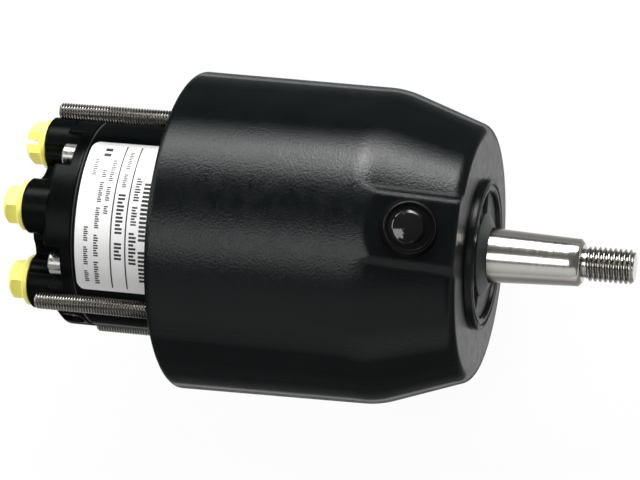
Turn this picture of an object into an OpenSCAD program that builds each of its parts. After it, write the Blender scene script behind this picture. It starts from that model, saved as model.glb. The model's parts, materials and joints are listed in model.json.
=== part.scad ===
// Hydraulic helm pump for front mounting: cast housing, tapered wheel shaft, ball-piston pump,
// lock valve and three ports. Every piece is built along one axis. Distances along it run from
// the dash face, plus toward the wheel, and the filler pad is on top.

/* [Housing] */
// Radius at the dash face
housing_r = 56.05; // [54.5:0.05:60]
// Radius where the cone starts
shoulder_r = 54.9; // [54:0.1:58]
// Distance of the cone's start
shoulder_s = 72.6; // [68:0.2:76]
// Distance of the front face
front_s = 103.4; // [101:0.2:108]
// Radius of the cone's corner at the front face
nose_r = 43.95; // [41:0.05:47]
// Rounding of the front edge
nose_round = 4.2; // [2:0.1:5]
// Rounding of the rear edge
rear_round = 1.6; // [0.5:0.1:2.5]
// Rounding between cylinder and cone
shoulder_round = 30; // [10:1:45]
// Thickness of the outer wall
wall = 5.5; // [5.4:0.1:6.4]
// Thickness of the front wall
front_wall = 7; // [5:0.1:9]
// Radius of the lugs inside that take studs and screws
lug_r = 7; // [5.5:0.1:7.5]
// Length of the lugs
lug_len = 24; // [20:0.5:30]

/* [Front ring and bearing] */
// Outer radius of the raised ring
ring_r = 26; // [25:0.1:29]
// Height of the raised ring
ring_h = 2.2; // [1.5:0.1:3.5]
// Radius of the ring nut
nut_r = 21.5; // [21.3:0.1:22.5]
// Depth of the nut below the front face
nut_depth = 1; // [0.3:0.1:2]
// Thickness of the ring nut
nut_t = 6.4; // [6:0.1:7]
// Radius of the nut's bore, which holds the seal
seal_r = 13; // [12.4:0.1:14]
// Radius of the spanner holes
spanner_r = 2.9; // [2:0.1:3.2]
// Radius of the circle of spanner holes
spanner_pitch = 17.6; // [17.2:0.1:18]
// Outer radius of the ball bearing
bearing_or = 21; // [20.5:0.1:21.2]
// Bore radius of the ball bearing
bearing_ir = 10; // [9.8:0.05:10.4]
// Width of the ball bearing
bearing_w = 12; // [10:0.5:14]
// Radius of the bearing's balls
bearing_ball_r = 3.175; // [2.8:0.025:3.3]
// Number of balls in the bearing
bearing_ball_count = 9; // [7:1:10]

/* [Wheel shaft] */
// Radius at the large end of the taper
taper_r = 9.525; // [9.2:0.025:9.6]
// Fall of the radius for each millimetre of taper
taper_fall = 0.04167; // [0.03:0.001:0.05]
// Length of the taper
taper_len = 34; // [28:0.5:38]
// Radius of the thread for the wheel nut
thread_r = 5.95; // [5.5:0.05:6.3]
// Length of the thread
thread_len = 15.6; // [12:0.2:20]
// Width of the key
key_w = 4.76; // [3:0.02:5]
// Radius of the round key
key_r = 6.5; // [5.5:0.1:7]
// Height of the key above the taper
key_up = 2; // [1:0.1:2.4]

/* [Filler] */
// Half width of the pad's flat
pad_half = 11; // [10.4:0.1:13]
// Half width at the pad's foot
pad_foot = 13.4; // [13:0.1:15]
// Distance of the plug along the pad
plug_t = 16.4; // [13:0.2:19]
// Radius of the plug's head
plug_r = 9.75; // [8.5:0.05:10.2]
// Height of the plug's head
plug_h = 4.6; // [3.5:0.1:6]
// Radius of the plug's shank
plug_shank_r = 5.6; // [5:0.1:6]
// Length of the plug's shank
plug_shank_len = 9; // [6:0.5:11]

/* [Pump body] */
// Radius of the body behind the dash
body_r = 37.1; // [36.4:0.1:38]
// Length of the body behind the dash
body_len = 32.5; // [31.5:0.5:35]
// Thickness of the body's rear wall
rear_wall = 12; // [11:0.5:13]
// Radius of the rotor's chamber
chamber_r = 31.9; // [31.8:0.1:32.5]
// Radius of the flange inside the housing
flange_r = 51.5; // [51:0.1:51.8]
// Thickness of the flange
flange_t = 8; // [7:0.5:10]
// Radius of the circle of studs and flange screws
stud_pitch = 46.94; // [46:0.02:47.6]
// Radius of the studs
stud_r = 2.95; // [2.4:0.05:3.2]
// Length of the studs behind the dash face
stud_len = 43; // [30:0.5:60]
// Depth of the studs in the lugs
stud_grip = 14; // [8:0.5:18]

/* [Ball pump] */
// Number of balls
ball_count = 5; // [5:1:5]
// Radius of a ball
ball_r = 10; // [9:0.1:10.1]
// Radius of the balls' circle
ball_pitch = 19.5; // [19.3:0.1:19.8]
// Tilt of the track
tilt = 10.5; // [8:0.1:11]
// Distance of the balls' plane on the axis
ball_s = 5.5; // [5:0.1:5.9]
// Radius of the rotor
rotor_r = 31.5; // [31.2:0.05:31.6]
// Thickness of the valve plate
plate_t = 3; // [2.5:0.1:3.2]
// Radius of the balls in the thrust bearing
thrust_ball_r = 2.5; // [2:0.1:2.6]
// Number of balls in the thrust bearing
thrust_ball_count = 16; // [12:1:18]

/* [Rear cover and ports] */
// Thickness of the cover under its screws
cover_t = 4; // [3.6:0.1:5]
// Height of the cover's shoulder above the screws' seats
cover_step = 6.2; // [5.9:0.1:7]
// Height of the port bosses above the shoulder
boss_h = 8.4; // [7.6:0.1:11]
// Radius of the port bosses
boss_r = 9.6; // [9.4:0.1:10.2]
// Distance of the ports from the body's edge
port_inset = 8.9; // [8.6:0.1:9.4]
// Angle between neighbouring ports
port_spread = 60; // [58:1:62]
// Radius of a port's bore
port_r = 6.2; // [5.6:0.1:6.4]
// Number of cover screws
screw_count = 5; // [5:1:5]
// Distance of the cover screws from the body's edge
screw_inset = 4.9; // [4.8:0.1:5.4]
// Radius of the hollows round the screws
screw_arc = 9; // [8:0.1:9.4]
// Radius of the flange on a port plug
port_plug_r = 8.8; // [8:0.1:9.4]
// Width across the flats of a port plug
port_plug_af = 13; // [11:0.1:14]
// Height of a port plug above its boss
port_plug_h = 7.8; // [6.5:0.1:10]

/* [Lock valve] */
// Radius of the valve's bore
valve_r = 3.8; // [3.6:0.05:3.9]
// Height of the valve's bore above the axis
valve_y = 8; // [7.5:0.1:9]
// Half length of the spool's land
spool_half = 7; // [6:0.1:7.4]
// Travel of the spool each way
spool_travel = 1.2; // [0.6:0.1:1.3]
// Distance of the seats from the middle
seat_x = 12; // [11.8:0.1:12.4]

/* [Label] */
// Half angle of the label
label_half = 43.5; // [30:0.5:55]
// Angle of the label's middle from the top
label_turn = 3; // [-10:1:10]
// Distance of the label behind the dash face
label_start = 3; // [2.5:0.1:6]
// Length of the label along the body
label_len = 28.3; // [15:0.1:28.5]
// Thickness of the label
label_t = 0.25; // [0.1:0.05:0.4]
// Radius of the label's corners
label_corner = 2.5; // [0.5:0.1:4]

/* [Hidden] */
$fn = 96;

// Clearances
run_gap = 0.05;
face_gap = 0.03;
thread_gap = 0.03;
loose_gap = 0.3;
eps = 0.01;
through = 60;

// Colours
black = [0.06, 0.06, 0.065];
steel = [0.75, 0.75, 0.76];
bronze = [0.72, 0.52, 0.25];
rubber = [0.04, 0.04, 0.04];
yellow = [0.9, 0.82, 0.25];
white = [0.93, 0.93, 0.93];

// Housing
cone_angle = atan((shoulder_r - nose_r) / (front_s - shoulder_s));
draft_angle = atan((housing_r - shoulder_r) / shoulder_s);
cavity_r = min(housing_r, shoulder_r) - wall;
cavity_end = front_s - front_wall;
cone_in_s = shoulder_s + (shoulder_r - cavity_r - wall / cos(cone_angle)) / tan(cone_angle);
flange_bore_r = flange_r + loose_gap;
hub_r = nut_r + 7.5;
groove_r = ring_r - 1.8;
stud_hole_r = stud_r + loose_gap;
stud_core_r = stud_r - 0.3;
stud_tip = 0.7;
lug_sink = 0.5;

// Ring nut, seal and bearing
nut_s = front_s - nut_depth;
bearing_s = nut_s - nut_t;
bearing_rear = bearing_s - bearing_w;
hub_s = bearing_rear - 4;
bearing_pitch = (bearing_or + bearing_ir) / 2;
race_gap = 5.3;
cage_half = 1.2;
cage_rear = 4.2;
cage_front = 1;
seal_land_r = taper_r + 0.1;
clip_t = 1.2;
seal_s = bearing_s + clip_t + 0.4;

// Shaft
taper_s = front_s + 0.5;
taper_end = taper_s + taper_len;
taper_end_r = taper_r - taper_fall * taper_len;
neck_r = thread_r - 1;
neck_s = taper_end + 1.2;
thread_s = neck_s + 2;
shaft_end = thread_s + thread_len;
key_s = taper_s + taper_len * 0.48;
key_surface_r = taper_r - taper_fall * (key_s - taper_s);
key_lift = 0.6;
drive_af = 12.6;
journal_r = 7.5;

// Ball pump
wall_front = rear_wall - body_len;
plate_s = wall_front + plate_t;
rotor_rear = plate_s + face_gap;
bore_pitch = ball_pitch * (1 + cos(tilt)) / 2;
bore_r = ball_r + ball_pitch * (1 - cos(tilt)) / 2 + run_gap;
track_r = 23.5;
track_n = ball_r - 1.4;
rotor_front = ball_s + track_n * cos(tilt) - track_r * sin(tilt) - 0.35;
bore_floor = rotor_rear + 4.4;
spring_wire = 0.6;
spring_coil_r = ball_r * 0.65;
race_t = 5;
thrust_n = track_n + race_t + thrust_ball_r * 0.68;
washer_n = thrust_n + thrust_ball_r * 0.68;
washer_t = 3.5;
washer_r = 24.5;
washer_sink = 1;
swash_n = washer_n + washer_t;
swash_front = ball_s + swash_n * cos(tilt) + chamber_r * sin(tilt) + 6;
swash_r = chamber_r - run_gap;
swash_clip_t = 1.6;
body_front = swash_front + swash_clip_t + 4;
plate_r = 27.5;
kidney_half = 3.2;
kidney_angle = 100;
dowel_r = 1.5;
dowel_pitch = 24.4;
bush_r = journal_r + 2;
bush_len = 12;
rotor_edge = 0.8;
dowel_sink = 4;
dowel_up = plate_t - 0.5;
inlet_r = 3.5;
inlet_s = flange_t + 5;
swash_pin_r = 2;
swash_pin_len = 9;

// Body flange
oring_seat_r = flange_r - 1.8;
body_oring_r = (flange_bore_r - oring_seat_r) / 2;
oring_s = 4.1;
oring_half = 1.3;
flange_screw_r = 2.5;
flange_head_r = 4.2;
flange_screw_pitch = oring_seat_r - flange_head_r - loose_gap - 0.5;
flange_head_h = 5;
flange_key = 4;
flange_head_sink = flange_head_h + 0.3;
flange_screw_len = 20;

// Cover
gasket_t = 0.5;
edge = 0.5;
cover_edge = 1.2;
cover_s = -body_len - gasket_t;
screw_seat = cover_s - cover_t;
cover_rear = screw_seat - cover_step;
boss_rear = cover_rear - boss_h;
boss_edge = 0.8;
web_rear = boss_rear + 0.3;
web_r = 19.5;
screw_r = 2.5;
screw_head_r = 4.25;
screw_head_h = 5;
screw_key = 4;
screw_grip = 10;
screw_pitch = body_r - screw_inset;
screw_start = 54;
port_pitch = body_r - port_inset;
port_x = port_pitch * sin(port_spread);
port_y = port_pitch * cos(port_spread);
plug_corner_r = port_plug_af / sqrt(3);
plug_tip = 1.7;
plug_slot_w = 1.7;
plug_slot_d = 4.5;
drain_r = 1.8;
drain_y = (plate_r + chamber_r) / 2;

// Lock valve
seat_t = 3;
seat_bore_r = 2.3;
poppet_x = seat_x + seat_t;
poppet_end = poppet_x + 8.5;
end_plug_r = valve_r + 0.4;
end_plug_top = valve_y + end_plug_r;
end_plug_end = sqrt(body_r * body_r - end_plug_top * end_plug_top) - 0.1;
end_plug_len = 4;
end_plug_x = end_plug_end - end_plug_len;
valve_s = cover_s - end_plug_r - 1;
port_floor = valve_s - end_plug_r - 1;
port_drill_r = 2.2;
port_drill_y = port_y - port_r + port_drill_r + 0.1;
groove_half = 3;
groove_d = 1;
inlet_x = (spool_half + spool_travel + seat_x) / 2;
poppet_tip = 1.4;
nose_len = poppet_x - poppet_tip - spool_half - spool_travel - loose_gap;
poppet_spring_wire = 0.4;
poppet_spring_r = 2.6;
poppet_peg = 1.5;

// Filler
pad_up = 0.3;
pad_sink = 0.15;
filler_oring_t = 0.9;
filler_wall = 4;
dome_r = plug_r - 4.2;
dome_h = 1.1;
dome_ball_r = (dome_r * dome_r + dome_h * dome_h) / (2 * dome_h);
dome_angle = asin(dome_r / dome_ball_r);

// Points on an arc about c, from angle a0 to angle a1
function arc(c, r, a0, a1, n = 8) =
    [for (i = [0:n]) c + r * [cos(a0 + (a1 - a0) * i / n), sin(a0 + (a1 - a0) * i / n)]];

// Tube along a helix about the axis, from height z0 to z1
function helix_ring(r, wire, t, z, sides) =
    [for (k = [0:sides - 1])
        let (a = 360 * k / sides)
        [(r + wire * cos(a)) * cos(t), (r + wire * cos(a)) * sin(t), z + wire * sin(a)]];

module coil(r, wire, z0, z1, turns, sides = 6, steps = 14) {
    n = turns * steps;
    points = [for (i = [0:n]) each helix_ring(r, wire, 360 * i / steps, z0 + (z1 - z0) * i / n, sides)];
    quads = [for (i = [0:n - 1], k = [0:sides - 1])
        let (j = (k + 1) % sides)
        [i * sides + k, (i + 1) * sides + k, (i + 1) * sides + j, i * sides + j]];
    first = [[for (k = [0:sides - 1]) k]];
    last = [[for (k = [sides - 1:-1:0]) n * sides + k]];
    polyhedron(points, concat(quads, first, last), convexity = 6);
}

// From the pump's axis to the part's frame: wheel to the front, filler up
module placed() rotate([90, 0, 0]) children();

// Lathe a list of [radius, distance] points about the axis
module lathe(points) rotate_extrude() polygon(points);

module tube(r_in, r_out, s0, s1) {
    translate([0, 0, s0])
        difference() {
            cylinder(r = r_out, h = s1 - s0);
            translate([0, 0, -1]) cylinder(r = r_in, h = s1 - s0 + 2);
        }
}

module ring_of(count, pitch, start = 0) {
    for (i = [0:count - 1])
        rotate(start + 360 * i / count) translate([pitch, 0, 0]) children();
}

module torus(r, tube_r) rotate_extrude() translate([r, 0]) circle(r = tube_r);

// Frame of the tilted track
module tilted() translate([0, 0, ball_s]) rotate([tilt, 0, 0]) children();

// Frame of the filler pad: z along the pad to the front, y out of it
module pad_frame()
    translate([0, shoulder_r, shoulder_s])
        rotate([cone_angle, 0, 0])
            translate([0, pad_up, 0]) children();

// Frame of the filler plug: z out of the pad
module plug_frame() pad_frame() translate([0, 0, plug_t]) rotate([-90, 0, 0]) children();

module kidneys(s0, s1) {
    for (side = [0, 180])
        rotate(side - kidney_angle / 2)
            translate([0, 0, s0])
                rotate_extrude(angle = kidney_angle)
                    translate([bore_pitch - kidney_half, 0]) square([2 * kidney_half, s1 - s0]);
}

module housing_outside() {
    round_s = front_s - nose_round;
    round_r = nose_r - nose_round * (1 - sin(cone_angle)) / cos(cone_angle);
    bend = shoulder_round * tan((cone_angle - draft_angle) / 2);
    blend_r = shoulder_r + bend * sin(draft_angle) - shoulder_round * cos(draft_angle);
    blend_s = shoulder_s - bend * cos(draft_angle) - shoulder_round * sin(draft_angle);
    lathe(concat(
        [[0, 0]],
        arc([housing_r - rear_round, rear_round], rear_round, -90, 0, 6),
        arc([blend_r, blend_s], shoulder_round, draft_angle, cone_angle, 6),
        arc([round_r, round_s], nose_round, cone_angle, 90, 10),
        [[0, front_s]]));
}

module pad() {
    intersection() {
        pad_frame()
            translate([0, 0, -20])
                linear_extrude(height = 80)
                    polygon([[-pad_foot - 2, -9], [-pad_foot, -2.5], [-pad_half, 0],
                             [pad_half, 0], [pad_foot, -2.5], [pad_foot + 2, -9]]);
        lathe([[0, 0], [housing_r - pad_sink, 0], [shoulder_r - pad_sink, shoulder_s],
               [shoulder_r - pad_sink, front_s], [0, front_s]]);
    }
}

// Four lugs inside the housing, each with a sloped end
module lugs(pitch, start) {
    ring_of(4, pitch, start)
        lathe([[0, flange_t + lug_sink], [lug_r, flange_t + lug_sink], [lug_r, flange_t + lug_len],
               [1, flange_t + lug_len + lug_r], [0, flange_t + lug_len + lug_r]]);
}

module housing_cavity() {
    difference() {
        lathe([[0, -1], [flange_bore_r, -1], [flange_bore_r, flange_t], [cavity_r, flange_t],
               [cavity_r, cone_in_s],
               [cavity_r - (cavity_end - cone_in_s) * tan(cone_angle), cavity_end], [0, cavity_end]]);
        translate([0, 0, hub_s]) cylinder(r = hub_r, h = front_s);
        lugs(stud_pitch, 45);
        lugs(flange_screw_pitch, 0);
        plug_frame()
            translate([0, 0, -plug_shank_len - 1])
                cylinder(r = plug_shank_r + filler_wall, h = plug_shank_len);
    }
}

module front_housing() color(black) placed() {
    difference() {
        union() {
            housing_outside();
            pad();
            lathe(concat([[0, front_s - 1], [ring_r, front_s - 1]],
                         arc([ring_r - 0.8, front_s + ring_h - 0.8], 0.8, 0, 90, 5),
                         [[0, front_s + ring_h]]));
        }
        housing_cavity();
        translate([0, 0, front_s + ring_h]) torus(groove_r, 0.45);
        translate([0, 0, hub_s - 1]) cylinder(r = bearing_or - 3.5, h = front_s);
        translate([0, 0, bearing_rear]) cylinder(r = bearing_or, h = front_s);
        translate([0, 0, bearing_s]) cylinder(r = nut_r + thread_gap, h = front_s);
        translate([0, 0, front_s + ring_h - 1]) cylinder(r1 = nut_r - 0.2, r2 = nut_r + 0.9, h = 1.1);
        translate([0, 0, flange_t - 1]) {
            ring_of(4, stud_pitch, 45) cylinder(r = stud_core_r + thread_gap, h = stud_grip + 1);
            ring_of(4, flange_screw_pitch)
                cylinder(r = flange_screw_r + thread_gap, h = flange_screw_len);
        }
        plug_frame() {
            translate([0, 0, -plug_shank_len - 6])
                cylinder(r = plug_shank_r + loose_gap, h = plug_shank_len + 12);
            translate([0, 0, -2 * filler_oring_t])
                cylinder(r = plug_shank_r + 2 * filler_oring_t + loose_gap, h = 6);
        }
    }
}

module bearing_retainer() color(black) placed() {
    difference() {
        tube(seal_r, nut_r, bearing_s, nut_s);
        translate([0, 0, nut_s - 4]) ring_of(3, spanner_pitch, -30) cylinder(r = spanner_r, h = 5);
        translate([0, 0, nut_s - 0.6]) cylinder(r1 = seal_r, r2 = seal_r + 0.6 + eps, h = 0.6 + eps);
    }
}

module shaft_seal() color(rubber) placed() {
    lip_r = seal_land_r + face_gap;
    lathe([[lip_r + 1.4, seal_s], [seal_r, seal_s], [seal_r, nut_s - 0.6], [seal_r - 0.6, nut_s - 0.3],
           [lip_r + 1.2, nut_s - 0.5], [lip_r, nut_s - 1.2], [lip_r, nut_s - 1.8],
           [lip_r + 1.4, nut_s - 2.6]]);
}

module bearing_ring(r_in, r_out) {
    difference() {
        tube(r_in, r_out, bearing_rear, bearing_s);
        translate([0, 0, bearing_s - bearing_w / 2]) torus(bearing_pitch, bearing_ball_r + face_gap);
    }
}

module bearing_outer_race() color(steel) placed() bearing_ring(bearing_pitch + race_gap / 2, bearing_or);

module bearing_inner_race() color(steel) placed() bearing_ring(bearing_ir, bearing_pitch - race_gap / 2);

module bearing_balls() color(steel) placed()
    translate([0, 0, bearing_s - bearing_w / 2])
        ring_of(bearing_ball_count, bearing_pitch) sphere(r = bearing_ball_r);

module bearing_cage() color(bronze) placed() {
    difference() {
        tube(bearing_pitch - cage_half, bearing_pitch + cage_half,
             bearing_s - bearing_w / 2 - cage_rear, bearing_s - bearing_w / 2 + cage_front);
        translate([0, 0, bearing_s - bearing_w / 2])
            ring_of(bearing_ball_count, bearing_pitch) sphere(r = bearing_ball_r);
    }
}

module shaft_circlip() color(steel) placed() {
    difference() {
        tube(bearing_ir - 0.6, bearing_ir + 1.8, bearing_s, bearing_s + clip_t);
        translate([-1.5, 0, bearing_s - 1]) cube([3, bearing_ir + 5, clip_t + 2]);
    }
}

module wheel_shaft() color(steel) placed() {
    difference() {
        union() {
            lathe([[0, rotor_front], [journal_r, rotor_front], [journal_r, body_front],
                   [bearing_ir - 1.2, body_front + 1.2], [bearing_ir - 1.2, bearing_rear - 4],
                   [bearing_ir + 2.4, bearing_rear - 4], [bearing_ir + 2.4, bearing_rear],
                   [bearing_ir, bearing_rear], [bearing_ir, bearing_s], [bearing_ir - 0.6, bearing_s],
                   [bearing_ir - 0.6, bearing_s + clip_t], [seal_land_r, bearing_s + clip_t],
                   [seal_land_r, taper_s - 0.3], [taper_r, taper_s], [taper_end_r, taper_end],
                   [taper_end_r - 1.3, taper_end + 1.1], [neck_r, neck_s],
                   [neck_r, thread_s - 1], [thread_r, thread_s], [thread_r, shaft_end - 1],
                   [thread_r - 1, shaft_end], [0, shaft_end]]);
            translate([0, 0, bore_floor])
                rotate(30) cylinder(r = drive_af / sqrt(3), h = rotor_front - bore_floor, $fn = 6);
        }
        key_shape();
    }
}

// Round key standing in the lower side of the taper
module key_shape() {
    intersection() {
        translate([-key_w / 2, key_lift - key_surface_r, key_s])
            rotate([0, 90, 0]) cylinder(r = key_r, h = key_w);
        translate([-key_w, -key_surface_r - key_up, key_s - 20]) cube([2 * key_w, 30, 40]);
    }
}

module shaft_key() color(steel) placed() key_shape();

module shaft_bush() color(bronze) placed()
    tube(journal_r + run_gap, bush_r, swash_front - bush_len, swash_front);

module rotor() color(steel) placed() {
    difference() {
        union() {
            translate([0, 0, rotor_rear]) cylinder(r = rotor_r, h = rotor_front - rotor_rear - rotor_edge);
            translate([0, 0, rotor_front - rotor_edge])
                cylinder(r1 = rotor_r, r2 = rotor_r - rotor_edge, h = rotor_edge);
        }
        translate([0, 0, bore_floor]) rotate(30) cylinder(r = drive_af / sqrt(3), h = through, $fn = 6);
        ring_of(ball_count, bore_pitch, 90) {
            translate([0, 0, bore_floor]) cylinder(r = bore_r, h = through);
            translate([0, 0, rotor_rear - 1]) cylinder(r = kidney_half, h = bore_floor - rotor_rear + 2);
        }
    }
}

module piston_balls() color(steel) placed()
    tilted() ring_of(ball_count, ball_pitch, 90) sphere(r = ball_r);

module piston_springs() color(steel) placed() {
    cap = sqrt(ball_r * ball_r - spring_coil_r * spring_coil_r);
    for (i = [0:ball_count - 1]) {
        a = 90 + 360 * i / ball_count;
        top = ball_s + ball_pitch * sin(tilt) * sin(a) - cap - spring_wire - 0.6;
        rotate(a) translate([bore_pitch, 0, 0])
            coil(spring_coil_r, spring_wire, bore_floor + spring_wire, top, 4);
    }
}

module swash_race() color(steel) placed() tilted() {
    difference() {
        tube(2 * ball_pitch - track_r - 1, track_r, track_n, track_n + race_t);
        torus(ball_pitch, ball_r + face_gap);
        translate([0, 0, thrust_n]) torus(ball_pitch, thrust_ball_r + face_gap);
    }
}

module thrust_balls() color(steel) placed() tilted()
    translate([0, 0, thrust_n]) ring_of(thrust_ball_count, ball_pitch) sphere(r = thrust_ball_r);

module thrust_cage() color(bronze) placed() tilted() {
    difference() {
        tube(ball_pitch - 3.6, ball_pitch + 3.6, thrust_n - 0.5, thrust_n + 0.5);
        translate([0, 0, thrust_n]) ring_of(thrust_ball_count, ball_pitch) sphere(r = thrust_ball_r);
    }
}

module swash_washer() color(steel) placed() tilted() {
    difference() {
        tube(2 * ball_pitch - washer_r, washer_r, washer_n, swash_n);
        translate([0, 0, thrust_n]) torus(ball_pitch, thrust_ball_r + face_gap);
    }
}

module swash_plate() color(steel) placed() {
    difference() {
        translate([0, 0, ball_s]) cylinder(r = swash_r, h = swash_front - ball_s);
        tilted() translate([0, 0, -100]) cylinder(r = 90, h = 100 + swash_n - washer_sink);
        tilted() cylinder(r = washer_r, h = swash_n);
        cylinder(r = bush_r, h = 90);
        swash_pin_shape();
    }
}

// Pin half in the swash plate's rim and half in the body
module swash_pin_shape()
    translate([0, -chamber_r, swash_front - swash_pin_len])
        cylinder(r = swash_pin_r, h = swash_pin_len);

module swash_pin() color(steel) placed() swash_pin_shape();

module swash_circlip() color(steel) placed() {
    difference() {
        tube(chamber_r - 3, chamber_r + 1.4, swash_front, swash_front + swash_clip_t);
        translate([-4, 0, swash_front - 1]) cube([8, chamber_r + 5, swash_clip_t + 2]);
    }
}

module valve_plate() color(bronze) placed() {
    difference() {
        translate([0, 0, wall_front]) cylinder(r = plate_r, h = plate_t);
        kidneys(wall_front - 1, plate_s + 1);
        translate([0, 0, wall_front - 1])
            ring_of(2, dowel_pitch, 45) cylinder(r = dowel_r, h = plate_t + 2);
    }
}

module valve_dowels() color(steel) placed()
    translate([0, 0, wall_front - dowel_sink])
        ring_of(2, dowel_pitch, 45) cylinder(r = dowel_r, h = dowel_sink + dowel_up);

module pump_body() color(black) placed() {
    difference() {
        lathe([[0, -body_len], [body_r - edge, -body_len], [body_r, edge - body_len], [body_r, 0],
               [flange_r, 0], [flange_r, oring_s - oring_half], [oring_seat_r, oring_s - oring_half],
               [oring_seat_r, oring_s + oring_half], [flange_r, oring_s + oring_half],
               [flange_r, flange_t], [body_r, flange_t], [body_r, body_front], [chamber_r, body_front],
               [chamber_r, swash_front + swash_clip_t], [chamber_r + 1.4, swash_front + swash_clip_t],
               [chamber_r + 1.4, swash_front], [chamber_r, swash_front], [chamber_r, wall_front],
               [0, wall_front]]);
        kidneys(-body_len - 1, wall_front + 1);
        swash_pin_shape();
        translate([0, 0, -1]) {
            ring_of(4, stud_pitch, 45) cylinder(r = stud_hole_r, h = flange_t + 2);
            ring_of(4, flange_screw_pitch) cylinder(r = flange_screw_r + loose_gap, h = flange_t + 2);
            ring_of(4, flange_screw_pitch)
                cylinder(r = flange_head_r + loose_gap, h = 1 + flange_head_sink);
        }
        translate([0, 0, -body_len - 1])
            ring_of(screw_count, screw_pitch, screw_start)
                cylinder(r = screw_r + thread_gap, h = screw_grip + 1.5);
        translate([0, drain_y, -body_len - 1]) cylinder(r = drain_r, h = rear_wall + 2);
        translate([0, 0, wall_front - dowel_sink])
            ring_of(2, dowel_pitch, 45) cylinder(r = dowel_r, h = dowel_sink + 1);
        for (a = [0:90:270])
            rotate(a) translate([0, 0, inlet_s]) rotate([0, 90, 0]) cylinder(r = inlet_r, h = through);
    }
}

module body_oring() color(rubber) placed()
    translate([0, 0, oring_s]) torus(oring_seat_r + body_oring_r, body_oring_r);

// Socket-head screw standing on z = 0 with its shank below
module socket_screw(r, head_r, head_h, len, socket_af) {
    difference() {
        union() {
            cylinder(r = head_r, h = head_h - edge);
            translate([0, 0, head_h - edge]) cylinder(r1 = head_r, r2 = head_r - edge, h = edge);
            translate([0, 0, -len]) cylinder(r = r, h = len);
        }
        translate([0, 0, head_h * 0.45]) cylinder(r = socket_af / sqrt(3), h = head_h, $fn = 6);
    }
}

module flange_screws() color(steel) placed()
    translate([0, 0, flange_head_sink]) ring_of(4, flange_screw_pitch)
        rotate([180, 0, 0])
            socket_screw(flange_screw_r, flange_head_r, flange_head_h, flange_screw_len, flange_key);

module mounting_studs() color(steel) placed()
    ring_of(4, stud_pitch, 45)
        lathe([[0, -stud_len], [stud_r - stud_tip, -stud_len], [stud_r, stud_tip - stud_len], [stud_r, 0],
               [stud_core_r, 0], [stud_core_r, flange_t + stud_grip], [0, flange_t + stud_grip]]);

module cover_gasket() color(rubber) placed() {
    difference() {
        translate([0, 0, cover_s]) cylinder(r = body_r - edge, h = gasket_t);
        kidneys(cover_s - 1, cover_s + 2);
        translate([0, 0, cover_s - 1]) {
            ring_of(screw_count, screw_pitch, screw_start) cylinder(r = screw_r + loose_gap, h = 3);
            translate([0, drain_y, 0]) cylinder(r = drain_r, h = 3);
        }
    }
}

// Places of the right, top and left port
module at_ports()
    for (side = [-1, 0, 1])
        rotate(90 + side * port_spread) translate([port_pitch, 0, 0]) children();

// Web that joins the bosses
module boss_web()
    translate([0, 0, web_rear])
        linear_extrude(height = cover_rear - web_rear + 1) {
            circle(r = web_r);
            polygon([[port_x, port_y], [0, port_pitch], [-port_x, port_y]]);
        }

// Hollows round the screws, open at the edge and at the rear, which leave the bosses whole
module screw_hollows()
    translate([0, 0, boss_rear - 1])
        difference() {
            ring_of(screw_count, screw_pitch, screw_start)
                cylinder(r = screw_arc, h = screw_seat - boss_rear + 1);
            at_ports() translate([0, 0, -1]) cylinder(r = boss_r, h = through);
        }

module rear_cover() color(black) placed() {
    difference() {
        union() {
            lathe([[0, cover_rear], [body_r - cover_edge, cover_rear], [body_r, cover_rear + cover_edge],
                   [body_r, cover_s - edge], [body_r - edge, cover_s], [0, cover_s]]);
            boss_web();
            at_ports()
                lathe([[0, boss_rear], [boss_r - boss_edge, boss_rear], [boss_r, boss_rear + boss_edge],
                       [boss_r, cover_rear + 1], [0, cover_rear + 1]]);
        }
        screw_hollows();
        translate([0, 0, boss_rear - 1]) ring_of(screw_count, screw_pitch, screw_start) {
            cylinder(r = screw_r + loose_gap, h = through);
            cylinder(r = screw_head_r + 0.5, h = screw_seat - boss_rear + 1);
        }
        at_ports() {
            translate([0, 0, boss_rear - 1]) cylinder(r = port_r, h = port_floor - boss_rear + 1);
            translate([0, 0, boss_rear - 1]) cylinder(r1 = port_r + 1.5, r2 = port_r, h = 1.5);
        }
        for (side = [-1, 1]) {
            translate([side * port_x, port_drill_y, port_floor - 1])
                cylinder(r = port_drill_r, h = valve_s - port_floor + 1);
            translate([side * inlet_x, valve_y, valve_s]) cylinder(r = drain_r, h = through);
            translate([side * (inlet_x + bore_pitch) / 2, valve_y, cover_s])
                cube([bore_pitch - inlet_x + 2 * drain_r, 2 * groove_half, 2 * groove_d], center = true);
            valve_frame(side) {
                cylinder(r = valve_r, h = through);
                translate([0, 0, end_plug_x]) cylinder(r = end_plug_r, h = through);
            }
        }
        translate([0, drain_y, port_floor - 1]) cylinder(r = drain_r, h = through);
    }
}

module cover_screws() color(steel) placed()
    translate([0, 0, screw_seat]) ring_of(screw_count, screw_pitch, screw_start)
        rotate([180, 0, 0])
            socket_screw(screw_r, screw_head_r, screw_head_h, screw_grip - body_len - screw_seat, screw_key);

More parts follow.
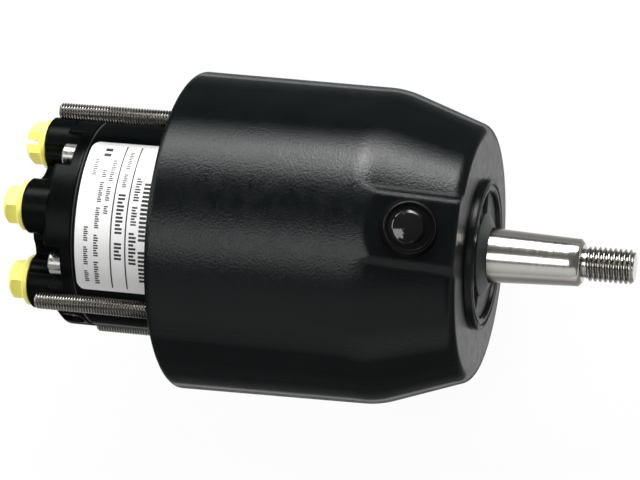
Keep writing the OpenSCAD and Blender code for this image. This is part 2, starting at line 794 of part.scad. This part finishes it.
// Slotted hexagon plug standing on the boss at angle a, shank toward the cover
module port_plug(a, slot) color(yellow) placed()
    rotate(a) translate([port_pitch, 0, boss_rear]) rotate([180, 0, slot - a]) {
        shank = 0.7 * (port_floor - boss_rear);
        difference() {
            union() {
                translate([0, 0, -shank]) cylinder(r1 = port_r - 1.2, r2 = port_r - loose_gap, h = 1);
                translate([0, 0, 1 - shank]) cylinder(r = port_r - loose_gap, h = shank - 1);
                lathe([[0, 0], [port_plug_r - 0.3, 0], [port_plug_r, 0.3], [port_plug_r, 1.5],
                       [port_plug_r - 0.6, 2.1], [0, 2.1]]);
                intersection() {
                    rotate(30) cylinder(r = plug_corner_r, h = port_plug_h, $fn = 6);
                    lathe([[0, 0], [port_plug_r, 0], [plug_corner_r, port_plug_h - plug_tip],
                           [plug_corner_r - plug_tip, port_plug_h], [0, port_plug_h]]);
                }
            }
            translate([-port_plug_r, -plug_slot_w / 2, port_plug_h - plug_slot_d])
                cube([2 * port_plug_r, plug_slot_w, port_plug_h]);
        }
    }

module top_port_plug() port_plug(90, 10);

module left_port_plug() port_plug(90 + port_spread, 10);

module right_port_plug() port_plug(90 - port_spread, 97);

// Frame of the lock valve's bore: z along it, to the side given
module valve_frame(side) translate([0, valve_y, valve_s]) rotate([0, 90 * side, 0]) children();

module lock_spool() color(steel) placed() {
    for (side = [-1, 1])
        valve_frame(side)
            lathe([[0, -eps], [valve_r - 0.7, -eps], [valve_r - 0.7, 1.2], [valve_r - run_gap, 1.2],
                   [valve_r - run_gap, 4], [valve_r - 0.7, 4], [valve_r - 0.7, 4.8],
                   [valve_r - run_gap, 4.8],
                   [valve_r - run_gap, spool_half], [1.3, spool_half], [1.3, spool_half + nose_len],
                   [0, spool_half + nose_len]]);
}

module poppet(side) color(steel) placed() valve_frame(side) {
    guide_r = valve_r - run_gap;
    cone_r = seat_bore_r - 0.02;
    difference() {
        lathe([[0, poppet_x - poppet_tip], [1, poppet_x - poppet_tip], [cone_r, poppet_x],
               [cone_r + 0.9, poppet_x + 0.9], [cone_r + 0.9, poppet_x + 2.5], [guide_r, poppet_x + 2.5],
               [guide_r, poppet_end - poppet_peg],
               [2, poppet_end - poppet_peg], [2, poppet_end], [0, poppet_end]]);
        for (a = [0:90:270])
            rotate(a) translate([guide_r - 0.8, -1, poppet_x + 1.5]) cube([2, 2, 6]);
    }
}

module left_poppet() poppet(-1);

module right_poppet() poppet(1);

module poppet_spring(side) color(steel) placed() valve_frame(side)
    coil(poppet_spring_r, poppet_spring_wire, poppet_end - poppet_peg + poppet_spring_wire + face_gap,
         end_plug_x - poppet_spring_wire, 5, 6, 12);

module left_spring() poppet_spring(-1);

module right_spring() poppet_spring(1);

module valve_seats() color(bronze) placed()
    for (side = [-1, 1])
        valve_frame(side) tube(seat_bore_r, valve_r, seat_x, poppet_x);

module valve_end_plugs() color(steel) placed()
    for (side = [-1, 1])
        valve_frame(side)
            difference() {
                translate([0, 0, end_plug_x])
                    cylinder(r = end_plug_r - thread_gap, h = end_plug_end - end_plug_x);
                translate([0, 0, end_plug_end - end_plug_len / 2])
                    cylinder(r = 4 / sqrt(3), h = end_plug_len, $fn = 6);
            }

// Cap with a rim, a groove and a low dome
module filler_plug() color(black) placed() plug_frame()
    lathe(concat([[0, -plug_shank_len], [plug_shank_r - 0.8, -plug_shank_len],
                  [plug_shank_r, 0.8 - plug_shank_len], [plug_shank_r, 0], [plug_r, 0],
                  [plug_r, 1.2], [plug_r - 0.9, plug_h - 1]],
                 arc([plug_r - 1.9, plug_h - 1], 1, 0, 90, 5),
                 [[plug_r - 2.3, plug_h - 0.7], [dome_r + 0.2, plug_h - 0.7]],
                 arc([0, plug_h - dome_ball_r + dome_h / 2], dome_ball_r, 90 - dome_angle, 90, 6)));

module filler_oring() color(rubber) placed() plug_frame()
    translate([0, 0, -filler_oring_t]) torus(plug_shank_r + filler_oring_t, filler_oring_t);

module data_label() color(white) placed() {
    half = (body_r + label_t) * sin(label_half);
    inner_half = half - label_corner;
    intersection() {
        tube(body_r, body_r + label_t, -body_len, 0);
        rotate(label_turn)
            translate([0, 0, -label_start])
                rotate([-90, 0, 0])
                    linear_extrude(height = through) {
                        translate([-inner_half, 0]) square([2 * inner_half, label_len]);
                        translate([-half, label_corner]) square([2 * half, label_len - 2 * label_corner]);
                        for (x = [-inner_half, inner_half], y = [label_corner, label_len - label_corner])
                            translate([x, y]) circle(r = label_corner);
                    }
    }
}

front_housing();
bearing_retainer();
shaft_seal();
bearing_outer_race();
bearing_inner_race();
bearing_balls();
bearing_cage();
shaft_circlip();
wheel_shaft();
shaft_key();
shaft_bush();
rotor();
piston_balls();
piston_springs();
swash_race();
thrust_balls();
thrust_cage();
swash_washer();
swash_plate();
swash_pin();
swash_circlip();
valve_plate();
valve_dowels();
pump_body();
body_oring();
flange_screws();
mounting_studs();
cover_gasket();
rear_cover();
cover_screws();
top_port_plug();
left_port_plug();
right_port_plug();
lock_spool();
left_poppet();
right_poppet();
left_spring();
right_spring();
valve_seats();
valve_end_plugs();
filler_plug();
filler_oring();
data_label();
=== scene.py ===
"""Hydraulic helm pump: materials, threads, printed label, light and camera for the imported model."""
import json
import math

import bmesh
import bpy
from mathutils import Matrix, Vector


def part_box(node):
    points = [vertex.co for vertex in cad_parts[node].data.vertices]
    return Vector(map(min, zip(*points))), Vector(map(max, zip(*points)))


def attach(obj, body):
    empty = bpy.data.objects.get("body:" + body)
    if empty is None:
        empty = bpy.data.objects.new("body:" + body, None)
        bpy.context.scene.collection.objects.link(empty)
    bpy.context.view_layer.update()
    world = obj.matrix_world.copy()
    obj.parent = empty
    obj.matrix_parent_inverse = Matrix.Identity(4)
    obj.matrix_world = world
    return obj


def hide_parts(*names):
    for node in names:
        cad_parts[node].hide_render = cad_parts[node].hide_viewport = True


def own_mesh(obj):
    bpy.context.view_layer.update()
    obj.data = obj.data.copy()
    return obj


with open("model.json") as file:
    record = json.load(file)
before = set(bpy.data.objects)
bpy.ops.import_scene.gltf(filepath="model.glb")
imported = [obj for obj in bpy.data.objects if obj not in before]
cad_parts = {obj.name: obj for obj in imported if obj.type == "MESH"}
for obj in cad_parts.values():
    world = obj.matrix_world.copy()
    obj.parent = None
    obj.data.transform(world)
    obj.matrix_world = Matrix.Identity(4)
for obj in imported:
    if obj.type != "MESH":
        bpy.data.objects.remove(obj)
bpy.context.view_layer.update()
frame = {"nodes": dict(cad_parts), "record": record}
nodes = frame["nodes"]
scene = bpy.context.scene

MM = 0.001


# Shapes

def node_mesh(node):
    """A CAD node's mesh in the part's frame, with its doubled points joined."""
    bm = bmesh.new()
    bm.from_mesh(nodes[node].data)
    bm.transform(nodes[node].matrix_world)
    bmesh.ops.remove_doubles(bm, verts=bm.verts, dist=1e-6)
    return bm


def finish_mesh(name, bm, smooth_angle):
    """A smooth-shaded object from a bmesh, sharp where faces meet at more than smooth_angle."""
    bmesh.ops.recalc_face_normals(bm, faces=bm.faces)
    mesh = bpy.data.meshes.new(name)
    bm.to_mesh(mesh)
    bm.free()
    mesh.shade_smooth()
    mesh.set_sharp_from_angle(angle=math.radians(smooth_angle))
    obj = bpy.data.objects.new(name, mesh)
    scene.collection.objects.link(obj)
    return obj


def add_mesh(name, verts, faces, smooth_angle=40):
    """An object from points in millimetres and faces."""
    bm = bmesh.new()
    points = [bm.verts.new(Vector(v) * MM) for v in verts]
    for face in faces:
        bm.faces.new([points[i] for i in face])
    return finish_mesh(name, bm, smooth_angle)


def add_to(verts, faces, more_verts, more_faces):
    """Adds one shape's points and faces to the lists of another."""
    base = len(verts)
    verts += more_verts
    faces += [tuple(i + base for i in face) for face in more_faces]


def along(r, angle, s):
    """The point at radius r and angle (from +X toward +Z) at distance s from the dash face."""
    return (r * math.cos(angle), -s, r * math.sin(angle))


def ring_points(s, r, segments, centre=(0.0, 0.0)):
    """Points round an axis at distance s, where r is a radius or a function of the angle."""
    points = []
    for k in range(segments):
        a = 2 * math.pi * k / segments
        x, y, z = along(r(a) if callable(r) else r, a, s)
        points.append((x + centre[0], y, z + centre[1]))
    return points


def ring_faces(count, segments, closed=False):
    """Faces between neighbouring rings of points, and from the last to the first where closed."""
    faces = []
    for i in range(count if closed else count - 1):
        this, other = i * segments, (i + 1) % count * segments
        for k in range(segments):
            j = (k + 1) % segments
            faces.append((this + k, this + j, other + j, other + k))
    return faces


def tube(count, segments):
    """Faces of a row of rings, closed at both ends."""
    last = (count - 1) * segments
    ends = [tuple(range(segments)), tuple(last + k for k in range(segments))]
    return ring_faces(count, segments) + ends


def lathe(rows, segments, centre=(0.0, 0.0)):
    """Points and faces of a closed lathe about the axis through centre."""
    verts = [p for s, r in rows for p in ring_points(s, r, segments, centre)]
    return verts, tube(len(rows), segments)


# Shares of half a pitch that a thread's crest and its flank take up
CREST, FLANK = 0.14, 0.70


def thread_depth(phase):
    """0 on the crest and 1 in the root of a V thread, over one pitch."""
    v = abs((phase % 1.0) - 0.5) * 2
    return min(1.0, max(0.0, (v - CREST) / FLANK))


def thread_rows(s0, s1, r, pitch, depth, per_pitch, chamfer0, chamfer1):
    """Rows of a right-hand thread from s0 to s1 with chamfered ends."""
    count = int(math.ceil((s1 - s0) / pitch * per_pitch))
    rows = []
    for i in range(count + 1):
        s = s0 + (s1 - s0) * i / count
        limit = r - max(0.0, chamfer0 - (s - s0), chamfer1 - (s1 - s))

        def radius(a, s=s, limit=limit):
            return min(limit, r - depth * thread_depth(s / pitch - a / (2 * math.pi)))

        rows.append((s, radius))
    return rows


# Materials

def grey(level):
    """A colour of equal parts."""
    return (level, level, level)


class Graph:
    """A small helper round one material's node tree."""

    def __init__(self, name):
        self.material = bpy.data.materials.new(name)
        self.material.use_nodes = True
        self.tree = self.material.node_tree
        self.shader = self.tree.nodes["Principled BSDF"]
        self.coords = self.tree.nodes.new("ShaderNodeTexCoord")

    def node(self, kind, **settings):
        """A new node with its settings."""
        n = self.tree.nodes.new(kind)
        for key, value in settings.items():
            setattr(n, key, value)
        return n

    def link(self, a, b):
        """A link between two sockets."""
        self.tree.links.new(a, b)

    def feed(self, value, socket):
        """A link to one of the shader's sockets."""
        self.link(value, self.shader.inputs[socket])

    def noise(self, scale, detail=2.0, rough=0.5, stretch=None):
        """Noise over the object's own coordinates, which stretch scales."""
        n = self.node("ShaderNodeTexNoise")
        n.inputs["Scale"].default_value = scale
        n.inputs["Detail"].default_value = detail
        n.inputs["Roughness"].default_value = rough
        source = self.coords.outputs["Object"]
        if stretch:
            m = self.node("ShaderNodeMapping")
            m.inputs["Scale"].default_value = stretch
            self.link(source, m.inputs["Vector"])
            source = m.outputs["Vector"]
        self.link(source, n.inputs["Vector"])
        return n.outputs["Fac"]

    def ramp(self, value, stops):
        """Colours over a value, from pairs of place and colour."""
        n = self.node("ShaderNodeValToRGB")
        while len(n.color_ramp.elements) < len(stops):
            n.color_ramp.elements.new(0.5)
        for element, (at, colour) in zip(n.color_ramp.elements, stops):
            element.position = at
            element.color = (*colour, 1.0)
        self.link(value, n.inputs["Fac"])
        return n.outputs["Color"]

    def spread(self, value, low, high):
        """Maps the middle of a noise's range to low and high."""
        n = self.node("ShaderNodeMapRange")
        n.inputs["From Min"].default_value = 0.3
        n.inputs["From Max"].default_value = 0.7
        n.inputs["To Min"].default_value = low
        n.inputs["To Max"].default_value = high
        self.link(value, n.inputs["Value"])
        return n.outputs["Result"]

    def bump(self, value, strength, distance, normal=None):
        """Bump from a value, over the surface's own normal or a given one."""
        n = self.node("ShaderNodeBump")
        n.inputs["Strength"].default_value = strength
        n.inputs["Distance"].default_value = distance
        self.link(value, n.inputs["Height"])
        if normal:
            self.link(normal, n.inputs["Normal"])
        self.feed(n.outputs["Normal"], "Normal")

    def vector(self, operation, a, b, result="Vector"):
        """The result of a vector operation on two sockets."""
        n = self.node("ShaderNodeVectorMath", operation=operation)
        self.link(a, n.inputs[0])
        self.link(b, n.inputs[1])
        return n.outputs[result]

    def larger(self, a, b):
        """The larger of two values."""
        n = self.node("ShaderNodeMath", operation="MAXIMUM")
        self.link(a, n.inputs[0])
        self.link(b, n.inputs[1])
        return n.outputs["Value"]

    def set(self, **values):
        """Sets the shader's own sockets."""
        for key, value in values.items():
            self.shader.inputs[key.replace("_", " ")].default_value = value


# Specular level of the coatings over Layer Weight's Facing, and how much glossier their edges are
GLOSS = [(0.20, 0.30), (0.33, 0.036), (0.45, 0.014), (0.60, 0.004), (0.765, 0.004),
         (0.795, 0.065), (0.815, 0.065), (0.84, 0.004), (1.0, 0.0)]
EDGE_GLOSS = 3.0
PEBBLE_HEIGHT = 0.00012


def coated(name, dark, light, rough, grain, bump, edge=0.0010, gloss=1.0):
    """Black coating: faint mottling, uneven gloss that falls on steep faces, a pebbled surface,
    and glossier edges that shade as if rounded by edge metres."""
    g = Graph(name)
    g.feed(g.ramp(g.noise(70, 4.0), [(0.35, dark), (0.7, light)]), "Base Color")
    g.feed(g.spread(g.noise(240, 3.0), *rough), "Roughness")
    bevel = g.node("ShaderNodeBevel", samples=4)
    bevel.inputs["Radius"].default_value = edge
    rounded = bevel.outputs["Normal"]
    g.bump(g.noise(grain, 2.0), bump, PEBBLE_HEIGHT, rounded)
    weight = g.node("ShaderNodeLayerWeight")
    g.link(rounded, weight.inputs["Normal"])
    levels = [(at, grey(level * gloss * EDGE_GLOSS)) for at, level in GLOSS]
    normal = g.node("ShaderNodeNewGeometry").outputs["Normal"]
    flat = g.vector("DOT_PRODUCT", rounded, normal, "Value")
    polish = g.ramp(flat, [(0.80, grey(1.0)), (0.98, grey(1 / EDGE_GLOSS))])
    level = g.vector("MULTIPLY", g.ramp(weight.outputs["Facing"], levels), polish)
    g.feed(level, "Specular IOR Level")
    return g.material


# Share of a metal's gloss that is left over Layer Weight's Facing, and on faces square to the axis
FALL = [(0.10, 1.0), (0.20, 0.72), (0.28, 0.46), (0.42, 0.18), (1.0, 0.11)]
END_GLOSS = 0.7
TURNED_HEIGHT = 0.00004


def steel(name, base, rough, stretch, tint=0.05, bump=0.05, root_shade=1.0, fall=1.0):
    """Machined metal: fine turned lines, painted shade that darkens the hollows to the share roots,
    and gloss that falls on steep faces but not on end faces."""
    g = Graph(name)
    lines = g.noise(900, 3.0, 0.6, stretch)
    low = tuple(c * (1 - tint) for c in base)
    high = tuple(min(1.0, c * (1 + tint)) for c in base)
    colour = g.ramp(lines, [(0.3, low), (0.7, high)])
    pointiness = g.node("ShaderNodeNewGeometry").outputs["Pointiness"]
    # Painted shade: the colour darkens where pointiness is low, in the hollows of a thread
    painted_hollow_shade = g.ramp(pointiness, [(0.44, grey(root_shade)), (0.50, grey(1.0))])
    levels = [(at, grey(1 - fall * (1 - level))) for at, level in FALL]
    steep = g.ramp(g.node("ShaderNodeLayerWeight").outputs["Facing"], levels)
    normal = g.node("ShaderNodeSeparateXYZ")
    g.link(g.coords.outputs["Normal"], normal.inputs["Vector"])
    square = g.node("ShaderNodeMath", operation="ABSOLUTE")
    g.link(normal.outputs["Y"], square.inputs[0])
    ends = g.ramp(square.outputs["Value"], [(0.95, grey(0.0)), (0.99, grey(END_GLOSS))])
    shade = g.vector("MULTIPLY", painted_hollow_shade, g.vector("MAXIMUM", steep, ends))
    g.feed(g.vector("MULTIPLY", colour, shade), "Base Color")
    g.feed(g.spread(lines, *rough), "Roughness")
    g.bump(lines, bump, TURNED_HEIGHT)
    g.set(Metallic=1.0)
    return g.material


MOULD_HEIGHT = 0.00006


def moulded(name, low, high, rough, grain, bump, subsurface=0.0):
    """Moulded plastic, rubber or paper: soft colour drift and a light surface texture."""
    g = Graph(name)
    g.feed(g.ramp(g.noise(120, 3.0), [(0.3, low), (0.72, high)]), "Base Color")
    g.feed(g.spread(g.noise(420, 2.0), *rough), "Roughness")
    g.bump(g.noise(grain, 2.0), bump, MOULD_HEIGHT)
    if subsurface:
        g.set(Subsurface_Weight=subsurface, Subsurface_Radius=(0.003, 0.002, 0.0006))
    return g.material


def domed(name, low, high, share):
    """Black moulding with a lacquered dome, out to a share of its radius, in a dull rim."""
    g = Graph(name)
    g.feed(g.ramp(g.noise(120, 3.0), [(0.3, low), (0.72, high)]), "Base Color")
    centred = g.node("ShaderNodeVectorMath", operation="SUBTRACT")
    g.link(g.coords.outputs["Generated"], centred.inputs[0])
    centred.inputs[1].default_value = (0.5, 0.5, 0.0)
    level = g.node("ShaderNodeVectorMath", operation="MULTIPLY")
    g.link(centred.outputs["Vector"], level.inputs[0])
    level.inputs[1].default_value = (2.0, 2.0, 0.0)
    radius = g.node("ShaderNodeVectorMath", operation="LENGTH")
    g.link(level.outputs["Vector"], radius.inputs[0])
    for socket, dome, rim in (("Specular IOR Level", 1.0, 0.12), ("Roughness", 0.08, 0.3)):
        stops = [(share - 0.02, grey(dome)), (share + 0.02, grey(rim))]
        g.feed(g.ramp(radius.outputs["Value"], stops), socket)
    g.bump(g.noise(1800, 2.0), 0.04, MOULD_HEIGHT)
    return g.material


powder = coated("powder_coat", (0.0018, 0.0029, 0.0033), (0.0030, 0.0041, 0.0045),
                (0.19, 0.27), 1500, 0.85, edge=0.0020)
satin = coated("satin_black", (0.0018, 0.0024, 0.0024), (0.003, 0.0037, 0.0037),
               (0.22, 0.30), 1500, 0.25, gloss=0.25)
nut_coat = coated("nut_black", (0.008, 0.010, 0.009), (0.016, 0.018, 0.017),
                  (0.26, 0.36), 2600, 0.25, edge=0.0005)
plug_black = domed("plug_black", grey(0.003), grey(0.005), 0.57)
plug_yellow = moulded("plug_yellow", (0.97, 0.88, 0.16), (0.99, 0.92, 0.20),
                      (0.30, 0.42), 900, 0.10, subsurface=0.12)
rubber = moulded("rubber_black", (0.022, 0.026, 0.027), (0.030, 0.034, 0.035),
                 (0.45, 0.6), 2400, 0.08)
gasket = moulded("gasket_dark", grey(0.004), grey(0.007), (0.5, 0.65), 2400, 0.1)
paper = moulded("label_white", (0.83, 0.83, 0.82), (0.87, 0.87, 0.86), (0.30, 0.38), 1200, 0.04)
ink = moulded("label_ink", grey(0.012), grey(0.02), (0.32, 0.42), 1200, 0.04)
shaft_steel = steel("shaft_steel", (0.90, 0.87, 0.80), (0.12, 0.24), (0.15, 4.0, 0.15), root_shade=0.35)
stud_steel = steel("stud_steel", (0.56, 0.54, 0.50), (0.22, 0.32), (0.4, 2.0, 0.4), 0.1, root_shade=0.2)
screw_steel = steel("screw_steel", (0.58, 0.57, 0.55), (0.22, 0.34), (1.0, 1.0, 1.0), fall=0.6)
inner_steel = steel("inner_steel", (0.60, 0.61, 0.62), (0.16, 0.28), (0.2, 3.0, 0.2))
bronze = steel("bronze", (0.62, 0.43, 0.20), (0.26, 0.4), (0.4, 2.0, 0.4), 0.08)

by_slot = {
    "housing_black": powder, "body_black": satin, "cover_black": satin, "nut_black": nut_coat,
    "plug_black": plug_black, "plug_yellow": plug_yellow, "label_white": paper,
    "shaft_steel": shaft_steel, "stud_steel": stud_steel, "screw_steel": screw_steel,
    "inner_steel": inner_steel, "bronze": bronze, "rubber": rubber, "gasket": gasket,
}
for part in frame["record"]["subparts"]:
    obj = nodes[part["node"]]
    obj.data.materials.clear()
    obj.data.materials.append(by_slot[part["material_slot"]])


def dress(obj, material, body):
    """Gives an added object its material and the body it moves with."""
    obj.data.materials.append(material)
    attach(obj, body)
    return obj


# Wheel shaft: its solid up to the neck, with a threaded end in place of the plain one

SHAFT_SEGMENTS = 72
THREAD_R, THREAD_LEN, THREAD_PITCH, THREAD_CUT = 5.95, 15.6, 1.75, 1.07
NECK_R = THREAD_R - 1.0
shaft_end = -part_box("wheel_shaft")[0].y / MM
neck_end = shaft_end - THREAD_LEN - 1.0
bm = node_mesh("wheel_shaft")
bmesh.ops.bisect_plane(bm, geom=bm.verts[:] + bm.edges[:] + bm.faces[:], clear_outer=True,
                       plane_co=(0, -(neck_end - 0.2) * MM, 0), plane_no=(0, -1, 0))
neck_edges = [edge for edge in bm.edges if edge.is_boundary]
rows = [(neck_end, NECK_R)]
rows += thread_rows(neck_end + 0.1, shaft_end, THREAD_R, THREAD_PITCH, THREAD_CUT, 14, 1.0, 1.2)
points = [bm.verts.new(Vector(p) * MM) for s, r in rows for p in ring_points(s, r, SHAFT_SEGMENTS)]
for face in ring_faces(len(rows), SHAFT_SEGMENTS):
    bm.faces.new([points[i] for i in face])
bm.faces.new(points[-SHAFT_SEGMENTS:])
first = points[:SHAFT_SEGMENTS]
thread_edges = [bm.edges.get((first[k - 1], first[k])) for k in range(SHAFT_SEGMENTS)]
bmesh.ops.bridge_loops(bm, edges=neck_edges + thread_edges)
shaft = dress(finish_mesh("wheel_shaft_threaded", bm, 32), shaft_steel, "shaft")
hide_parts("wheel_shaft")

# Ring nut: its solid, screwed round to the photo's angle, with the face further forward

NUT_RISE = 2.0
NUT_TURN = 60
nut_low, nut_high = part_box("bearing_retainer")
nut_face = -nut_low.y / MM + NUT_RISE
bm = node_mesh("bearing_retainer")
bm.transform(Matrix.Rotation(math.radians(NUT_TURN), 4, "Y"))
for vert in bm.verts:
    if vert.co.y < nut_high.y - 0.5 * MM:
        vert.co.y -= NUT_RISE * MM
nut = dress(finish_mesh("bearing_retainer_raised", bm, 30), nut_coat, "pump")
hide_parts("bearing_retainer")

# Shaft seal: its solid, with a conical lip that lies on the nut and rises along the shaft

SEAL_SEGMENTS = 96
LIP_R, LIP_RISE, LIP_OVER = 9.66, 2.8, 1.4
SEAL_HOLLOW = 1.4
seal_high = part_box("shaft_seal")[1]
seal_rear, seal_r = -seal_high.y / MM, seal_high.x / MM
rim_r, lip_end = seal_r + LIP_OVER, nut_face + LIP_RISE
profile = [
    (seal_rear, LIP_R + SEAL_HOLLOW), (seal_rear, seal_r),
    (nut_face - 0.6, seal_r), (nut_face + 0.05, seal_r + 0.6),
    (nut_face + 0.05, rim_r), (nut_face + 0.3, rim_r), (nut_face + 0.7, rim_r - 0.5),
    (lip_end - 0.2, LIP_R + 0.5), (lip_end, LIP_R + 0.15), (lip_end, LIP_R),
    (nut_face - 1.8, LIP_R), (nut_face - 2.6, LIP_R + SEAL_HOLLOW),
]
verts = [p for s, r in profile for p in ring_points(s, r, SEAL_SEGMENTS)]
faces = ring_faces(len(profile), SEAL_SEGMENTS, closed=True)
seal = dress(add_mesh("shaft_seal_lip", verts, faces, 30), rubber, "pump")
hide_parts("shaft_seal")

# Mounting studs, threaded outside the housing and plain inside

STUD_SEGMENTS = 28
STUD_R, STUD_CORE_R, STUD_CIRCLE_R = 2.95, 2.65, 46.94
STUD_PITCH, STUD_CUT = 1.0, 0.61
stud_low, stud_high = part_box("mounting_studs")
rows = thread_rows(-stud_high.y / MM, 0.0, STUD_R, STUD_PITCH, STUD_CUT, 9, 0.7, 0.0)
rows += [(0.0, STUD_CORE_R), (-stud_low.y / MM, STUD_CORE_R)]
verts, faces = [], []
for k in range(4):
    a = math.radians(45 + 90 * k)
    centre = (STUD_CIRCLE_R * math.cos(a), STUD_CIRCLE_R * math.sin(a))
    add_to(verts, faces, *lathe(rows, STUD_SEGMENTS, centre))
studs = add_mesh("mounting_studs_threaded", verts, faces, 50)
dress(studs, stud_steel, "pump")
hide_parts("mounting_studs")

# Valve springs: their solids, each given a mesh of its own

for side in ("left", "right"):
    node = side + "_spring"
    coil = finish_mesh(node + "_coil", node_mesh(node), 40)
    spring = dress(coil, inner_steel, "pump")
    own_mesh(spring)
    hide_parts(node)

# Print on the label: two rules, and rows of small strokes in place of words

BODY_R, LABEL_T, INK_T = 37.1, 0.25, 0.02
LABEL_R = BODY_R + LABEL_T
LABEL_MIDDLE = 93
INK_STEP = 2


def patch(a0, a1, s0, s1):
    """A thin curved block on the label between two angles from its middle, in degrees,
    and two distances."""
    steps = max(1, int((a1 - a0) / INK_STEP))
    top, root = LABEL_R + INK_T, LABEL_R - INK_T
    points = []
    for i in range(steps + 1):
        a = math.radians(LABEL_MIDDLE - a0 - (a1 - a0) * i / steps)
        points += [along(r, a, s) for r, s in ((top, s0), (top, s1), (root, s1), (root, s0))]
    return points, tube(steps + 1, 4)


def strokes(s, height, pitch, spans):
    """Upright strokes at distance s that fill each span of angles as a word does,
    every third one short."""
    row = []
    for start, end in spans:
        for i in range(int((end - start) / pitch)):
            a = start + pitch * i
            top = s + height * (0.2 if i % 3 == 2 else 0.5)
            row.append((a, a + 0.6 * pitch, s - 0.5 * height, top))
    return row


marks = [(-41, 41, -18.55, -18.05), (-41, 41, -13.2, -12.7)]
for row in (
    (-27.3, 1.5, 1.15, [(-38, -30), (-28, -17), (-15, -6), (21, 32)]),
    (-24.4, 2.6, 3.6, [(33, 41)]),
    (-23.6, 1.6, 1.35, [(-39, -25), (-23, -10)]),
    (-23.6, 1.5, 1.15, [(-8, 4), (6, 18), (20, 25)]),
    (-20.8, 1.5, 1.15, [(0, 5), (7, 16), (18, 32)]),
    (-15.6, 1.5, 1.15, [(15, 24), (26, 38)]),
    (-15.6, 2.6, 2.0, [(-24, -13), (-10, 12)]),
    (-10.4, 2.6, 2.0, [(-26, -8)]),
    (-10.4, 2.0, 1.5, [(-5, 6), (8, 22)]),
    (-6.6, 3.4, 2.3, [(-36, -16), (-13, 20)]),
):
    marks += strokes(*row)
verts, faces = [], []
for mark in marks:
    add_to(verts, faces, *patch(*mark))
dress(add_mesh("label_print", verts, faces), ink, "pump")

# Camera, fitted to the photo: its angles, its place in millimetres and its focal length in pixels

ROLL, TURN, TILT = math.radians(7.4), math.radians(14.75), math.radians(4.87)
EYE = (278.86, 0.19, 884.72)
FOCAL_PIXELS, PICTURE_WIDTH, SENSOR_WIDTH = 2619.27, 640.0, 36.0


def in_frame(s, w, d):
    """From along, across and toward the camera to the part's frame."""
    x = w * math.cos(ROLL) - d * math.sin(ROLL)
    z = w * math.sin(ROLL) + d * math.cos(ROLL)
    return Vector((x, -s, z))


right = in_frame(math.cos(TILT) * math.cos(TURN), math.sin(TILT), -math.cos(TILT) * math.sin(TURN))
upward = in_frame(-math.sin(TILT) * math.cos(TURN), math.cos(TILT), math.sin(TILT) * math.sin(TURN))
backward = in_frame(math.sin(TURN), 0.0, math.cos(TURN))

camera_data = bpy.data.cameras.new("camera")
camera_data.lens = SENSOR_WIDTH * FOCAL_PIXELS / PICTURE_WIDTH
camera_data.sensor_width = SENSOR_WIDTH
camera_data.clip_end = 20.0
camera = bpy.data.objects.new("camera", camera_data)
axes = Matrix((right, upward, backward)).transposed().to_4x4()
camera.matrix_world = Matrix.Translation(in_frame(*EYE) * MM) @ axes
scene.collection.objects.link(camera)
scene.camera = camera

# Light

MIDDLE = Vector((0.0, -0.05, 0.0))


def softbox(name, side, up, distance, size, power):
    """A soft lamp, side degrees to the picture's right of the camera and up degrees to its top."""
    data = bpy.data.lights.new(name, "AREA")
    data.shape = "RECTANGLE"
    data.size, data.size_y = size
    data.energy = power
    side, up = math.radians(side), math.radians(up)
    level = right * math.sin(side) + backward * math.cos(side)
    out = level * math.cos(up) + upward * math.sin(up)
    wide = upward.cross(out).normalized()
    obj = bpy.data.objects.new(name, data)
    turn = Matrix((wide, out.cross(wide), out)).transposed().to_4x4()
    obj.matrix_world = Matrix.Translation(MIDDLE + out * distance) @ turn
    scene.collection.objects.link(obj)


softbox("key", -2, 67, 1.0, (1.45, 0.50), 14.0)
softbox("key_cone", 32, 58, 1.0, (0.24, 0.26), 1.2)
softbox("key_front", -8, 60, 1.0, (0.14, 0.34), 3.4)
softbox("fill", -22, -4, 1.2, (0.8, 0.48), 3.15)
softbox("left", -72, 20, 1.0, (0.6, 0.6), 4.0)
softbox("low", -10, -58, 1.0, (1.4, 1.1), 2.1)

# Floor, which the camera and reflections see as nearly white, and surroundings

FLOOR_Z = -0.0575
FLOOR_HALF = 3.0
SEEN_WHITE = 0.96
WORLD_COLOUR, WORLD_STRENGTH = (0.95, 0.97, 1.0, 1.0), 0.09

floor_mesh = bpy.data.meshes.new("floor")
corners = [(-FLOOR_HALF, -FLOOR_HALF), (FLOOR_HALF, -FLOOR_HALF),
           (FLOOR_HALF, FLOOR_HALF), (-FLOOR_HALF, FLOOR_HALF)]
floor_mesh.from_pydata([(x, y, FLOOR_Z) for x, y in corners], [], [(0, 1, 2, 3)])
floor = bpy.data.objects.new("floor", floor_mesh)
scene.collection.objects.link(floor)
g = Graph("floor_pale")
g.set(Roughness=0.9, Specular_IOR_Level=0.1)
g.feed(g.ramp(g.noise(6, 2.0), [(0.3, grey(0.90)), (0.7, grey(0.93))]), "Base Color")
glow = g.node("ShaderNodeEmission")
glow.inputs["Color"].default_value = (1, 1, 1, 1)
glow.inputs["Strength"].default_value = 1.0
rays = g.node("ShaderNodeLightPath").outputs
seen = g.larger(rays["Is Camera Ray"], rays["Is Glossy Ray"])
seen = g.larger(seen, rays["Is Transmission Ray"])
share = g.node("ShaderNodeMath", operation="MULTIPLY")
g.link(seen, share.inputs[0])
share.inputs[1].default_value = SEEN_WHITE
mix = g.node("ShaderNodeMixShader")
g.link(share.outputs["Value"], mix.inputs["Fac"])
g.link(g.shader.outputs["BSDF"], mix.inputs[1])
g.link(glow.outputs["Emission"], mix.inputs[2])
g.link(mix.outputs["Shader"], g.tree.nodes["Material Output"].inputs["Surface"])
floor_mesh.materials.append(g.material)

world = bpy.data.worlds.new("studio")
scene.world = world
world.use_nodes = True
background = world.node_tree.nodes["Background"]
background.inputs["Color"].default_value = WORLD_COLOUR
background.inputs["Strength"].default_value = WORLD_STRENGTH

scene.view_settings.view_transform = "Standard"
